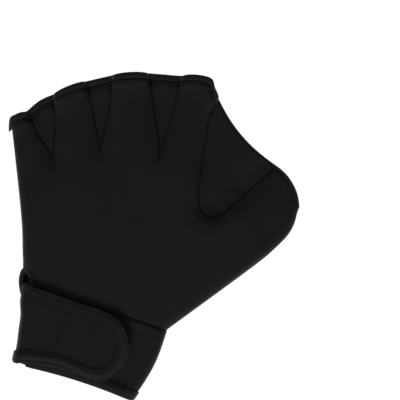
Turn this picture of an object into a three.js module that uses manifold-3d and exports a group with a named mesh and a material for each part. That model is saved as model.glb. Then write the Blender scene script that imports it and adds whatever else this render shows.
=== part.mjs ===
// Webbed swim glove for one hand, lying flat with the back of the hand up.
// Millimetres, +Z up, +Y towards the middle finger, +X towards the thumb.
import * as THREE from "three";
import { mergeVertices } from "three/addons/utils/BufferGeometryUtils.js";
import Module from "manifold-3d";

// Driving dimensions of the hand
const handSpan = 173.4; // little-finger edge to thumb tip, across
const handReach = 139.6; // wrist seam to the top of the finger edge
const fingerHollow = 5.2; // room between the two sheets inside a finger
const knuckleHollow = 6;
const palmHollow = 8;
const webHeight = 4.4; // height at which the two sheets meet in a web
const seamShoulder = 4.5; // how far from a seam the sheets have parted to their full room
const seamDimple = 0.6; // how deep the stitches pull the sheet in

// Driving dimensions of the cuff
const wristWidth = 90.4; // lying flat, along the wrist seam
const hemWidth = 75; // lying flat, along the hem
const hemShift = 1.5; // middle of the hem, towards the thumb
const cuffBow = 1.5; // how far the cuff's two sides bow towards the thumb
const cuffLength = 46.2; // wrist seam to hem
const cuffTilt = 18.7; // degrees between the cuff and the middle finger
const wristHollow = 7.5;
const strapReach = 72; // little-finger fold to the tip of the tongue
const strapWidth = 40.5;
const strapInset = 2; // tongue's upper edge below the wrist seam
const slitLength = 10; // how far the slit runs up into the hand
const slitWidth = 8.5; // width of the slit at the wrist seam
const strapFold = 5; // rounding of the tongue where it folds over the front
const strapLead = 20; // length over which the tongue draws in from the band's upper edge
const patchLength = 36; // hook patch, along the tongue
const patchThickness = 1.5;
const patchMargin = 1; // hook patch inside the tongue's binding

// Driving dimensions of the sheets and tapes
const neoprene = 2; // thickness of the laminated sheet
const tape = 0.6; // thickness of the binding tape
const fingerLap = 3.8; // width of the tape on each face of the finger edge
const cuffLap = 5.4; // and on the hem and the tongue
const slitRoll = 3.6; // thickness of the rolled binding round the slit
const gap = 0.3; // clearance between pieces that are sewn or pressed together
const tapeMargin = 1; // how far beyond its tape a sheet stays level
const partingRun = 8; // length over which two sheets part to make room for their tapes
const rollOutset = 1.2; // middle of the slit's rolled binding, outside the folded edge
const foldHeight = 4.5; // height of the folded side edges above the ground
const foldRadius = 5.5; // rounding of the upper half of a folded edge
const soleRadius = 3; // rounding of its lower half

// Worked out from them
const cover = tape + gap; // a sheet's face to the outside of its binding
const layers = 2 * neoprene; // back and palm sheet together
const wristTop = layers + wristHollow;
const strapRise = 2 * cover + gap + neoprene; // top of the tongue above the front of the band
const strapHalf = strapWidth / 2;

// Lines from the wrist seam to the finger edge: the folds, the seams of each web and the index corner.
// wrist is a share of the seam's width; the pairs are shares of handSpan and handReach from its middle.
const LINES = [
  { name: "little_fold", wrist: 0,
    palm: [-0.2535, 0.357], knuckle: [-0.275, 0.624], mid: [-0.283, 0.714], edge: [-0.291, 0.8] },
  { name: "web1_left", wrist: 0.23,
    palm: [-0.151, 0.349], knuckle: [-0.147, 0.619], mid: [-0.189, 0.72], edge: [-0.229, 0.828] },
  { name: "web1_right", wrist: 0.27,
    palm: [-0.13, 0.349], knuckle: [-0.143, 0.619], mid: [-0.138, 0.757], edge: [-0.144, 0.896] },
  { name: "web2_left", wrist: 0.43,
    palm: [-0.005, 0.357], knuckle: [0.015, 0.658], mid: [-0.004, 0.813], edge: [-0.028, 0.953] },
  { name: "web2_right", wrist: 0.47,
    palm: [0.016, 0.357], knuckle: [0.019, 0.658], mid: [0.047, 0.817], edge: [0.057, 0.978] },
  { name: "web3_left", wrist: 0.64,
    palm: [0.157, 0.359], knuckle: [0.22, 0.637], mid: [0.206, 0.826], edge: [0.188, 0.987] },
  { name: "web3_right", wrist: 0.68,
    palm: [0.178, 0.36], knuckle: [0.224, 0.637], mid: [0.267, 0.826], edge: [0.294, 0.976] },
  { name: "index_corner", wrist: 0.78,
    palm: [0.268, 0.37], knuckle: [0.299, 0.637], mid: [0.345, 0.813], edge: [0.398, 0.966] },
  { name: "thumb_web_left", wrist: 0.86,
    palm: [0.365, 0.411], knuckle: [0.372, 0.633], mid: [0.389, 0.783], edge: [0.424, 0.888] },
  { name: "thumb_web_right", wrist: 0.93,
    palm: [0.441, 0.401], knuckle: [0.5, 0.461], mid: [0.559, 0.525], edge: [0.621, 0.602] },
  { name: "thumb_fold", wrist: 1,
    palm: [0.535, 0.158], knuckle: [0.621, 0.246], mid: [0.676, 0.323], edge: [0.704, 0.422] },
];

// What lies between two lines, from the little finger to the thumb: where columns of the sheet run,
// how far the finger edge and the line across the palm bow out there, as shares of their length.
const SPANS = [
  { kind: "channel", shares: [0, 0.05, 0.14, 0.3, 0.55, 0.8], edgeBow: 0.02, palmBow: 0 },
  { kind: "web", shares: [0, 0.5], edgeBow: 0.08, palmBow: 0 },
  { kind: "channel", shares: [0, 0.07, 0.16, 0.35, 0.65, 0.84, 0.93], edgeBow: 0.055, palmBow: 0 },
  { kind: "web", shares: [0, 0.5], edgeBow: 0, palmBow: 0 },
  { kind: "channel", shares: [0, 0.07, 0.16, 0.35, 0.65, 0.84, 0.93], edgeBow: 0.05, palmBow: 0 },
  { kind: "web", shares: [0, 0.5], edgeBow: 0, palmBow: 0 },
  { kind: "channel", shares: [0, 0.15, 0.5], edgeBow: 0.07, palmBow: 0 },
  { kind: "channel", shares: [0, 0.35, 0.65, 0.85], edgeBow: 0, palmBow: 0 },
  { kind: "thumb_web", shares: [0, 0.25, 0.5, 0.75], edgeBow: -0.07, palmBow: -0.3 },
  { kind: "channel", shares: [0, 0.12, 0.35, 0.65, 0.85, 0.95, 1], edgeBow: 0.13, palmBow: 0 },
];

// Rows of the sheet: places between the lines' stations, wrist 0, palm 1, knuckle 2 and mid 3,
// then towards the finger edge, 4, and last the rows whose distance from that edge its binding sets.
const PALM = 1;
const KNUCKLE = 2;
const MID = 3;
const EDGE = 4;
const ROWS = [0, 0.12, 0.27, 0.5, 0.75, 0.93, PALM, 1.33, 1.67, 1.92, KNUCKLE, 2.35, 2.7, MID, 3.22, 3.45];
const EDGE_ROWS = [fingerLap + tapeMargin, 0.7 * fingerLap, 0.25 * fingerLap, 0]; // distances from the edge

// Lines on either side of the thumb web, and the lines beside the webs between the fingers
const THUMB_WEB_START = SPANS.findIndex(({ kind }) => kind === "thumb_web");
const THUMB_WEB_END = THUMB_WEB_START + 1;
const WEB_LINES = SPANS.flatMap(({ kind }, span) => (kind === "web" ? [span, span + 1] : []));

const mix = (a, b, share) => a + (b - a) * share;
const clamp01 = (value) => Math.min(1, Math.max(0, value));
const smooth = (value) => clamp01(value) ** 2 * (3 - 2 * clamp01(value));
const quarterRound = (share) => Math.sqrt(1 - (1 - clamp01(share)) ** 2);
const softRound = (share) => Math.sin((clamp01(share) * Math.PI) / 2);

const blackNeoprene = new THREE.MeshStandardMaterial({ color: 0x1c1c1e, roughness: 0.92, metalness: 0 });
const blackTape = new THREE.MeshStandardMaterial({ color: 0x222224, roughness: 0.85, metalness: 0 });
const hookTape = new THREE.MeshStandardMaterial({ color: 0x141415, roughness: 0.75, metalness: 0 });

// A place on the cuff, from the middle of the wrist seam: across it, down towards the hem, and up.
function cuffPoint(across, down, up) {
  const turn = THREE.MathUtils.degToRad(cuffTilt);
  const x = across * Math.cos(turn) - down * Math.sin(turn);
  const y = -across * Math.sin(turn) - down * Math.cos(turn);
  return new THREE.Vector3(x, y, up);
}

// The plan of the hand

const lineCurves = LINES.map((line) => {
  const start = cuffPoint(mix(-wristWidth / 2, wristWidth / 2, line.wrist), 0, 0);
  const places = [line.palm, line.knuckle, line.mid, line.edge];
  const points = places.map(([across, along]) => new THREE.Vector2(across * handSpan, along * handReach));
  return new THREE.SplineCurve([new THREE.Vector2(start.x, start.y), ...points]);
});

// Where a line crosses a row; rows past the stations are distances from the line's end.
function lineAt(curve, row) {
  if (row < ROWS.length) return curve.getPoint(ROWS[row] / EDGE);
  const end = curve.getPoint(1);
  return end.addScaledVector(curve.getTangent(1), -EDGE_ROWS[row - ROWS.length]);
}
const rowCount = ROWS.length + EDGE_ROWS.length;
const rowPlace = (row) => (row < ROWS.length ? ROWS[row] : EDGE);

// One point of the hand's plan: a row, and a share of the span between two lines.
function planPoint(row, span, share) {
  const from = lineAt(lineCurves[span], row);
  const to = lineAt(lineCurves[span + 1], row);
  const { kind, edgeBow, palmBow } = SPANS[span];
  const place = rowPlace(row);
  const opening = clamp01((place - KNUCKLE) / (EDGE - KNUCKLE));
  const bow =
    kind === "thumb_web"
      ? mix(palmBow, edgeBow, clamp01(place - PALM)) * clamp01(place)
      : edgeBow * opening;
  const chord = to.clone().sub(from);
  const sideways = new THREE.Vector2(-chord.y, chord.x).multiplyScalar(4 * share * (1 - share) * bow);
  return from.addScaledVector(chord, share).add(sideways);
}

// The columns of the sheet, each with its span and share.
const columns = SPANS.flatMap(({ shares }, span) => shares.map((share) => ({ span, share })));
const columnOfLine = (line) =>
  line === SPANS.length ? columns.length - 1 : columns.findIndex((c) => c.span === line && c.share === 0);
const plan = [...Array(rowCount).keys()].map((row) =>
  columns.map(({ span, share }) => planPoint(row, span, share)),
);

// Distance from a point to a polyline, with the value carried by its vertices at the nearest place.
function nearest(point, path) {
  let best = { distance: Infinity, value: 1 };
  for (let i = 0; i + 1 < path.length; i++) {
    const a = path[i];
    const b = path[i + 1];
    const along = b.point.clone().sub(a.point);
    const share = clamp01(point.clone().sub(a.point).dot(along) / along.lengthSq());
    const distance = a.point.clone().addScaledVector(along, share).distanceTo(point);
    if (distance < best.distance) best = { distance, value: mix(a.value, b.value, share) };
  }
  return best;
}
const path = (points, value = () => 1) => points.map((point, i) => ({ point, value: value(i) }));
const columnPath = (column, firstRow) => path(plan.slice(firstRow).map((row) => row[column]));

const lastRow = rowCount - 1;
const knuckleRow = ROWS.indexOf(KNUCKLE);
const palmRow = ROWS.indexOf(PALM);
const webStart = columnOfLine(THUMB_WEB_START);
const webEnd = columnOfLine(THUMB_WEB_END);

// Seams of the webs: each web's two sides, and the round foot of the thumb web.
const seams = [
  ...WEB_LINES.map((line) => columnPath(columnOfLine(line), knuckleRow)),
  ...[THUMB_WEB_START, THUMB_WEB_END].map((line) => columnPath(columnOfLine(line), palmRow)),
  path(plan[palmRow].slice(webStart, webEnd + 1)),
];
// Folded edges. Along the edge of the thumb web the fold is only as round as the sheets are thick, value 0,
// and over the first part of the thumb's end it becomes as round as elsewhere.
const thumbEnd = plan[lastRow].slice(webEnd);
const thumbRounding = 0.4;
const folds = [
  path(plan.map((row) => row[0])),
  path(plan.map((row) => row[row.length - 1])),
  path(thumbEnd, (i) => smooth(i / (thumbEnd.length - 1) / thumbRounding)),
  path(plan[lastRow].slice(webStart + 1, webEnd + 1), () => 0),
];

const nearestOf = (point, paths) =>
  paths.map((p) => nearest(point, p)).reduce((a, b) => (b.distance < a.distance ? b : a));

const WEB_FOOT = { web: knuckleRow, thumb_web: palmRow }; // row where a web begins
const isWeb = (row, { span, share }) => share > 0 && row >= WEB_FOOT[SPANS[span].kind];
const isSeam = (row, column) => {
  const { span, share } = columns[column];
  if (row === palmRow && column >= webStart && column <= webEnd) return true;
  if (share > 0) return false;
  if (span === THUMB_WEB_START || span === THUMB_WEB_END) return row >= palmRow;
  return WEB_LINES.includes(span) && row >= knuckleRow;
};

const HOLLOWS = [wristHollow, palmHollow, knuckleHollow, mix(knuckleHollow, fingerHollow, 0.6), fingerHollow];
function hollowAt(place) {
  const from = Math.min(HOLLOWS.length - 2, Math.floor(place));
  return mix(HOLLOWS[from], HOLLOWS[from + 1], place - from);
}

// Towards the bound finger edge the sheets part to make room for their tapes: 1 there, 0 further in.
function parting(row, column) {
  if (column > webStart) return 0;
  const fromEdge = plan[row][column].distanceTo(plan[lastRow][column]);
  return 1 - smooth((fromEdge - fingerLap - tapeMargin) / partingRun);
}
// Under its tape a sheet keeps the height that it has at the edge.
const heldRow = (row, column) => (row >= ROWS.length && column <= webStart ? lastRow : row);

function foldShape(row, column, radius) {
  const held = heldRow(row, column);
  const fold = nearestOf(plan[held][column], folds);
  return {
    height: mix(webHeight, foldHeight, fold.value),
    round: quarterRound(fold.distance / mix(neoprene + gap, radius, fold.value)),
  };
}

// How far the sheets have parted at a place: 0 in a web and on its seams, 1 from a shoulder's width on.
function parted(row, column) {
  if (isWeb(row, columns[column])) return 0;
  const { distance } = nearestOf(plan[heldRow(row, column)][column], seams);
  return softRound(distance / seamShoulder);
}

const tapeRoom = cover + gap / 2; // room for a tape on one face of a sheet

function backTop(row, column) {
  const inWeb = webHeight + gap / 2 + neoprene + tapeRoom * parting(row, column);
  const inFinger = layers + hollowAt(rowPlace(row)) + (tapeRoom + 2 * cover) * parting(row, column);
  const dimple = isSeam(row, column) ? seamDimple : 0;
  const { height, round } = foldShape(row, column, foldRadius);
  return mix(height + gap / 2, mix(inWeb, inFinger, parted(row, column)) - dimple, round);
}

function palmBottom(row, column) {
  const inWeb = webHeight - gap / 2 - neoprene - tapeRoom * parting(row, column);
  const inFinger = tapeRoom * parting(row, column);
  const dimple = isSeam(row, column) ? seamDimple / 2 : 0;
  const { height, round } = foldShape(row, column, soleRadius);
  return mix(height - gap / 2, mix(inWeb, inFinger, parted(row, column)) + dimple, round);
}

// A sheet as a closed solid: its outer face on a grid of points, and its thickness inwards from there.
function unitNormals(grid) {
  const last = { row: grid.length - 1, column: grid[0].length - 1 };
  return grid.map((line, i) =>
    line.map((_, j) => {
      const along = grid[Math.min(i + 1, last.row)][j].clone().sub(grid[Math.max(i - 1, 0)][j]);
      const across = line[Math.min(j + 1, last.column)].clone().sub(line[Math.max(j - 1, 0)]);
      return across.cross(along).normalize();
    }),
  );
}

function closedGeometry(positions, faces) {
  const geometry = new THREE.BufferGeometry();
  const numbers = positions.flatMap((p) => [p.x, p.y, p.z]);
  geometry.setAttribute("position", new THREE.Float32BufferAttribute(numbers, 3));
  geometry.setIndex(faces.flat());
  return mergeVertices(geometry, 1e-4);
}

// On a folded edge the rim lies level, so that it meets the other sheet's rim all along.
function sheet(outer, thickness, onFold) {
  const normals = unitNormals(outer);
  normals.forEach((line, i) => line.forEach((n, j) => onFold(i, j) && n.setZ(0).normalize()));
  const inner = outer.map((line, i) =>
    line.map((p, j) => p.clone().addScaledVector(normals[i][j], -thickness(i, j))),
  );
  const rows = outer.length;
  const width = outer[0].length;
  const faces = [];
  const quad = (a, b, c, d) => faces.push([a, b, c], [a, c, d]);
  const top = (i, j) => i * width + j;
  const under = (i, j) => rows * width + i * width + j;
  for (let i = 0; i + 1 < rows; i++) {
    for (let j = 0; j + 1 < width; j++) {
      quad(top(i, j), top(i, j + 1), top(i + 1, j + 1), top(i + 1, j));
      quad(under(i, j), under(i + 1, j), under(i + 1, j + 1), under(i, j + 1));
    }
    quad(top(i, 0), top(i + 1, 0), under(i + 1, 0), under(i, 0));
    quad(top(i + 1, width - 1), top(i, width - 1), under(i, width - 1), under(i + 1, width - 1));
  }
  for (let j = 0; j + 1 < width; j++) {
    quad(top(0, j + 1), top(0, j), under(0, j), under(0, j + 1));
    quad(top(rows - 1, j), top(rows - 1, j + 1), under(rows - 1, j + 1), under(rows - 1, j));
  }
  return { outer, inner, normals, geometry: closedGeometry([...outer.flat(), ...inner.flat()], faces) };
}

// A tape folded over a sheet's edge, from stations along it: the edge's outer and inner corner, the sheet's
// normal there and the way out of the edge. The section is a U of ten points.
function folded(stations, lap) {
  const section = ({ outer, inner, normal, out }) => {
    const at = (corner, outwards, up) =>
      corner.clone().addScaledVector(out, outwards).addScaledVector(normal, up);
    const shoulder = (share) => outer.clone().lerp(inner, share).addScaledVector(out, cover);
    return [
      at(outer, -lap, cover),
      at(outer, 0, cover),
      shoulder(0.15),
      shoulder(0.85),
      at(inner, 0, -cover),
      at(inner, -lap, -cover),
      at(inner, -lap, -gap),
      at(inner, gap, -gap),
      at(outer, gap, gap),
      at(outer, -lap, gap),
    ];
  };
  const CAP = [[9, 0, 1], [9, 1, 8], [8, 1, 2], [8, 2, 7], [7, 2, 3], [7, 3, 4], [7, 4, 5], [7, 5, 6]];
  const sections = stations.map(section);
  const size = CAP.length + 2;
  const faces = [];
  for (let i = 0; i + 1 < sections.length; i++) {
    for (let j = 0; j < size; j++) {
      const next = (j + 1) % size;
      const [a, b, c, d] = [i * size + j, i * size + next, (i + 1) * size + next, (i + 1) * size + j];
      faces.push([a, b, c], [a, c, d]);
    }
  }
  const end = (sections.length - 1) * size;
  CAP.forEach(([a, b, c]) => {
    faces.push([a, c, b], [end + a, end + b, end + c]);
  });
  const half = Math.floor(stations.length / 2);
  const way = stations[half + 1].outer.clone().sub(stations[half].outer);
  const rightHanded = way.cross(stations[half].out).dot(stations[half].normal) > 0;
  const facing = rightHanded ? faces.map(([a, b, c]) => [a, c, b]) : faces;
  return closedGeometry(sections.flat(), facing);
}

// Pulls the last station of a tape back by the clearance to the piece that it meets.
function easedEnd(stations) {
  const last = stations[stations.length - 1];
  const before = stations[stations.length - 2];
  const pulled = (corner) => {
    const way = before[corner].clone().sub(last[corner]).normalize();
    return last[corner].clone().addScaledVector(way, gap);
  };
  return [...stations.slice(0, -1), { ...last, outer: pulled("outer"), inner: pulled("inner") }];
}

// Cutting one solid by another

const wasm = await Module();
wasm.setup();

function solidOf(geometry) {
  const bare = geometry.clone();
  for (const name of Object.keys(bare.attributes)) {
    if (name !== "position") bare.deleteAttribute(name);
  }
  const merged = mergeVertices(bare, 1e-4);
  return new wasm.Manifold(
    new wasm.Mesh({
      numProp: 3,
      vertProperties: merged.attributes.position.array,
      triVerts: new Uint32Array(merged.index.array),
    }),
  );
}

function cutAway(geometry, ...cutters) {
  const left = cutters.reduce((solid, cutter) => solid.subtract(cutter), solidOf(geometry));
  const mesh = left.getMesh();
  const cut = new THREE.BufferGeometry();
  cut.setAttribute("position", new THREE.BufferAttribute(mesh.vertProperties, 3));
  cut.setIndex(new THREE.BufferAttribute(mesh.triVerts, 1));
  return cut;
}

// The two hand panels

// The slit opens the back panel from its folded edge: how far in its edge lies at each row.
const slitShare = (row) => clamp01(1 - plan[row][0].distanceTo(plan[0][0]) / slitLength);
const slitInset = (row) => slitWidth * Math.sqrt(slitShare(row));

const raised = (row, column, height) =>
  new THREE.Vector3(plan[row][column].x, plan[row][column].y, height(row, column));

// The back panel's columns next to the slit move in with its edge, and take their height from
// their new place.
function backGrid() {
  return plan.map((line, row) => {
    const inset = slitInset(row);
    return line.map((_, column) => {
      if (inset === 0 || columns[column].span > 0) return raised(row, column, backTop);
      const reach = plan[row][columnOfLine(1)].distanceTo(plan[row][0]);
      const share = mix(inset / reach, 1, columns[column].share);
      const place = planPoint(row, 0, share);
      const fold = nearestOf(place, folds);
      const full = layers + hollowAt(rowPlace(row));
      const height = mix(foldHeight + gap / 2, full, quarterRound(fold.distance / foldRadius));
      return new THREE.Vector3(place.x, place.y, height);
    });
  });
}

const lastColumn = columns.length - 1;
const onFold = (row, column) =>
  column === 0 || column === lastColumn || (row === lastRow && column > webStart);
const backSheet = sheet(
  backGrid(),
  (row, column) => neoprene - (isSeam(row, column) ? seamDimple : 0),
  (row, column) => onFold(row, column) && (column > 0 || slitInset(row) === 0),
);
const mirrored = (grid) => grid.map((line) => [...line].reverse());
const palmGrid = mirrored(plan.map((line, row) => line.map((_, column) => raised(row, column, palmBottom))));
const palmSheet = sheet(
  palmGrid,
  (row, column) => neoprene - (isSeam(row, lastColumn - column) ? seamDimple / 2 : 0),
  (row, column) => onFold(row, lastColumn - column),
);

// Bound finger edge of a panel, from the little-finger fold to the thumb web.
function fingerEdge({ outer, inner, normals }, columnOf) {
  const line = [...Array(webStart + 1).keys()].map(columnOf);
  const lapRow = ROWS.length;
  return line.map((column) => ({
    outer: outer[lastRow][column],
    inner: inner[lastRow][column],
    normal: normals[lastRow][column],
    out: outer[lastRow][column].clone().sub(outer[lapRow][column]).normalize(),
  }));
}

// The wrist band

// Half the cuff's width, and its middle, at a share of the way from seam to hem.
const cuffHalf = (down) => mix(wristWidth, hemWidth, down) / 2;
const cuffMiddle = (down) => hemShift * down + 4 * cuffBow * down * (1 - down);
const BAND_ROWS = [0, 0.25, 0.5, 0.75, 1 - (cuffLap + tapeMargin) / cuffLength, 1]; // shares of its width
const FOLD_STEPS = [10, 6, 3, 1]; // distances from a folded edge

// The places round the band in the order of the strip: over the front, round the thumb side, under the
// wrist, round the little-finger side and over the front again as the tongue.
const bandPlaces = [
  ...[0, 0.25, 0.5, 0.75].map((share) => ({ layer: "front", share })),
  ...FOLD_STEPS.map((inset) => ({ layer: "front", side: 1, inset })),
  { layer: "front", side: 1, inset: 0 },
  ...[1, soleRadius].map((inset) => ({ layer: "rear", side: 1, inset })),
  ...[0.2, 0.5, 0.8].map((share) => ({ layer: "rear", share })),
  ...[soleRadius, 1].map((inset) => ({ layer: "rear", side: -1, inset })),
  { layer: "tongue", side: -1, inset: 0 },
  ...[...FOLD_STEPS].reverse().map((inset) => ({ layer: "tongue", side: -1, inset })),
  ...[0.35, 0.7, 1].map((share) => ({ layer: "tongue", share })),
  ...[25, 45, 62, 76, 85].map((turn) => ({ layer: "tongue", turn: THREE.MathUtils.degToRad(turn) })),
];

// Where the straight part of the tongue ends and its round tip begins, from the middle of the cuff.
const tipCentre = -wristWidth / 2 + strapReach - strapHalf;

function bandPoint(place, rowShare) {
  const { layer, side, inset, share, turn } = place;
  let across;
  let down = mix(gap, cuffLength, rowShare);
  if (layer === "tongue" && turn !== undefined) {
    const half = strapHalf * Math.cos(turn);
    down = strapInset + strapHalf + mix(-half, half, rowShare);
  } else if (layer === "tongue") {
    const fromEdge = inset ?? share * (tipCentre + wristWidth / 2);
    const upper = mix(gap, strapInset, smooth(fromEdge / strapLead));
    const lower = mix(cuffLength, strapInset + strapWidth, smooth(fromEdge / (tipCentre + wristWidth / 2)));
    down = mix(upper, lower, rowShare);
  }
  const halfWidth = cuffHalf(down / cuffLength);
  const middle = cuffMiddle(down / cuffLength);
  if (inset !== undefined) across = side * (halfWidth - inset);
  else if (layer === "front") across = mix(slitWidth - halfWidth, halfWidth - 2 * FOLD_STEPS[0], share);
  else if (layer === "rear") across = mix(halfWidth - soleRadius, soleRadius - halfWidth, share);
  else if (turn !== undefined) across = tipCentre - middle + strapHalf * Math.sin(turn);
  else across = mix(FOLD_STEPS[0] - halfWidth, tipCentre - middle, share);
  const fromFold = Math.min(halfWidth - across, across + halfWidth);
  let up;
  if (layer === "rear") {
    const toHem = cuffLength - cuffLap - tapeMargin - down;
    const lift = tapeRoom * smooth(1 - toHem / partingRun);
    up = mix(foldHeight, lift, quarterRound(fromFold / soleRadius));
  } else {
    const full = wristTop + (layer === "tongue" ? strapRise : 0);
    const bend = layer === "tongue" ? (across + halfWidth) / strapFold : fromFold / foldRadius;
    up = mix(foldHeight, full, quarterRound(bend));
  }
  return cuffPoint(middle + across, down, up);
}

const bandGrid = BAND_ROWS.map((rowShare) => bandPlaces.map((place) => bandPoint(place, rowShare)));
const bandOnFold = (_, column) => bandPlaces[column].inset === 0;
const bandSheet = sheet([...bandGrid].reverse(), () => neoprene, bandOnFold);
const bandEnd = BAND_ROWS.length - 1;
const tongueStart = bandPlaces.findIndex(({ layer }) => layer === "tongue");

// A station on the band's upper or lower edge, with the way out of the sheet there.
function bandStation(row, column) {
  const { outer, inner, normals } = bandSheet;
  const normal = normals[row][column];
  const station = { outer: outer[row][column], inner: inner[row][column], normal };
  if (bandPlaces[column].turn === undefined) {
    const further = outer[row === 0 ? 1 : bandEnd - 1][column];
    return { ...station, out: outer[row][column].clone().sub(further).normalize() };
  }
  const before = outer[row][column - 1];
  const after = outer[row][Math.min(column + 1, bandPlaces.length - 1)];
  const out = after.clone().sub(before).cross(normal).normalize();
  return { ...station, out: row === 0 ? out : out.negate() };
}
const hemStations = [...Array(tongueStart + 1).keys()].map((column) => bandStation(0, column));
const tongueColumns = [...Array(bandPlaces.length - tongueStart).keys()].map((i) => i + tongueStart);
const strapStations = [
  ...tongueColumns.map((column) => bandStation(0, column)),
  ...[...tongueColumns].reverse().map((column) => bandStation(bandEnd, column)).slice(0, -1),
];

// The hook patch, sewn under the tongue's round end
function hookPatch() {
  const half = strapHalf - cuffLap - patchMargin;
  const shape = new THREE.Shape();
  shape.moveTo(half - patchLength, -half);
  shape.lineTo(0, -half);
  shape.absarc(0, 0, half, -Math.PI / 2, Math.PI / 2);
  shape.lineTo(half - patchLength, half);
  shape.closePath();
  const options = { depth: patchThickness, bevelEnabled: false, curveSegments: 10 };
  const mesh = new THREE.Mesh(new THREE.ExtrudeGeometry(shape, options), hookTape);
  mesh.name = "hook_patch";
  mesh.position.copy(cuffPoint(tipCentre, strapInset + strapHalf, wristTop + gap));
  mesh.rotation.z = -THREE.MathUtils.degToRad(cuffTilt);
  return mesh;
}

// The rolled binding of the slit: up the front edge of the band and the hand, round the slit's head and
// down the folded edge behind it. It lies beside the sheets' edges.
const foldWay = plan[1][0].clone().sub(plan[0][0]).normalize();
const inwards = cuffPoint(1, 0, 0);
function besideSlit(up, inset, height) {
  const fold = plan[0][0].clone().addScaledVector(foldWay, up);
  return new THREE.Vector3(fold.x, fold.y, height).addScaledVector(inwards, inset);
}
const rollReach = slitRoll / 2 + gap;
const frontEdgeHeight = wristTop - neoprene / 2;
const rollCurve = new THREE.CatmullRomCurve3([
  ...[1, 0.75, 0.5, 0.25].map((down) =>
    cuffPoint(cuffMiddle(down) - cuffHalf(down) + slitWidth - rollReach, down * cuffLength, frontEdgeHeight),
  ),
  besideSlit(0, slitWidth - rollReach, frontEdgeHeight),
  besideSlit(slitLength / 2, slitWidth / 2, frontEdgeHeight - neoprene / 2),
  besideSlit(slitLength, slitRoll / 2, mix(foldHeight, frontEdgeHeight, 0.6)),
  besideSlit(slitLength / 2, -rollOutset, foldHeight),
  besideSlit(0, -rollOutset, foldHeight),
]);
function roll(radius) {
  const round = new THREE.Shape().absarc(0, 0, radius, 0, 2 * Math.PI);
  const options = { steps: 30, curveSegments: 4, bevelEnabled: false, extrudePath: rollCurve };
  return new THREE.ExtrudeGeometry(round, options);
}
const rollRoom = solidOf(roll(slitRoll / 2 + gap));

// The assembly

const glove = new THREE.Group();
function piece(name, geometry, material) {
  const mesh = new THREE.Mesh(geometry, material);
  mesh.name = name;
  glove.add(mesh);
}

piece("back_panel", cutAway(backSheet.geometry, rollRoom), blackNeoprene);
piece("palm_panel", cutAway(palmSheet.geometry, rollRoom), blackNeoprene);
const backEdge = fingerEdge(backSheet, (column) => column);
const palmEdge = fingerEdge(palmSheet, (column) => lastColumn - column);
piece("back_finger_binding", folded(backEdge, fingerLap), blackTape);
piece("palm_finger_binding", folded(palmEdge, fingerLap), blackTape);
piece("wrist_band", cutAway(bandSheet.geometry, rollRoom), blackNeoprene);
piece("wrist_hem_binding", folded(easedEnd(hemStations), cuffLap), blackTape);
piece("strap_binding", folded(strapStations, cuffLap), blackTape);
piece("slit_binding", roll(slitRoll / 2), blackTape);
glove.add(hookPatch());

// The origin is on the ground under the middle of the glove.
const box = new THREE.Box3().setFromObject(glove, true);
const middle = box.getCenter(new THREE.Vector3());
glove.position.set(-middle.x, -middle.y, -box.min.z);

export default glove;
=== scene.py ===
# A webbed swim glove lying flat with the back of the hand up, of nylon-faced neoprene with bound edges.
# Metres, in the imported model's frame: +Z up, +Y towards the fingers, +X towards the thumb.
import math

import bmesh
import bpy
import numpy as np
from mathutils import Matrix, Vector
from mathutils.bvhtree import BVHTree
from mathutils.kdtree import KDTree


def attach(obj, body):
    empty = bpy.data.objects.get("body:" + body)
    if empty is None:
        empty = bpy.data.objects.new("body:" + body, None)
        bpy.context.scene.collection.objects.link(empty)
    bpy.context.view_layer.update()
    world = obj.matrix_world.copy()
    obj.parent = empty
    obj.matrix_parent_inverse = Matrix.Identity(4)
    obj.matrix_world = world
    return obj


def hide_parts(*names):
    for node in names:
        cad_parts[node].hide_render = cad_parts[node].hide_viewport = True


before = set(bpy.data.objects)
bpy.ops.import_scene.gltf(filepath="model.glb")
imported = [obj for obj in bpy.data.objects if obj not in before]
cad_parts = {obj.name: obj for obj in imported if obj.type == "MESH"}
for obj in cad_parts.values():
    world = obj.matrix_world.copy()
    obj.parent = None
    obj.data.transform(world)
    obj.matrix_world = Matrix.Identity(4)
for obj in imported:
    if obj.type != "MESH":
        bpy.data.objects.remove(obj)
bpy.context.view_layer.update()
bpy.ops.object.select_all(action="DESELECT")
MM = 0.001

# The table and the light
# A matt white table lit from all round, with the main light low on the wearer's side, so that raised
# edges throw their shadow towards the fingers. The camera looks straight down.
TABLE_TOP = -0.2 * MM  # just under the glove, so that no faces meet
TABLE_SIZE = 4.0
MAIN_LIGHT_PLACE = Vector((-0.22, -0.9, 0.56))
MAIN_LIGHT_SIZE = 0.35
MAIN_LIGHT_WATTS = 10.2
TABLE_BRIGHTNESS = 1.05
TENT_BRIGHTNESS = 0.37
VIEW_CENTRE = Vector((27.3 * MM, 21.9 * MM, 0))
VIEW_WIDTH = 240 * MM
LENS = 180.0
SENSOR = 36.0


def linear(hex_colour):
    """An sRGB hex colour as the linear red, green, blue and alpha that sockets take."""
    parts = [int(hex_colour[i : i + 2], 16) / 255 for i in (1, 3, 5)]
    return tuple(c / 12.92 if c <= 0.04045 else ((c + 0.055) / 1.055) ** 2.4 for c in parts) + (1.0,)


def empty_tree(owner):
    """The node tree of a material or a world, emptied."""
    owner.use_nodes = True
    owner.node_tree.nodes.clear()
    return owner.node_tree


def add_node(tree, kind, inputs=None, **settings):
    """One shader node with its settings; inputs holds values and the sockets that feed it."""
    made = tree.nodes.new(kind)
    for name, value in settings.items():
        setattr(made, name, value)
    for name, value in (inputs or {}).items():
        if isinstance(value, bpy.types.NodeSocket):
            tree.links.new(value, made.inputs[name])
        else:
            made.inputs[name].default_value = value
    return made


def surface(tree, kind, inputs):
    """Ends a material's tree with its shader."""
    shader = add_node(tree, kind, inputs)
    add_node(tree, "ShaderNodeOutputMaterial", {"Surface": shader.outputs[0]})


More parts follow.
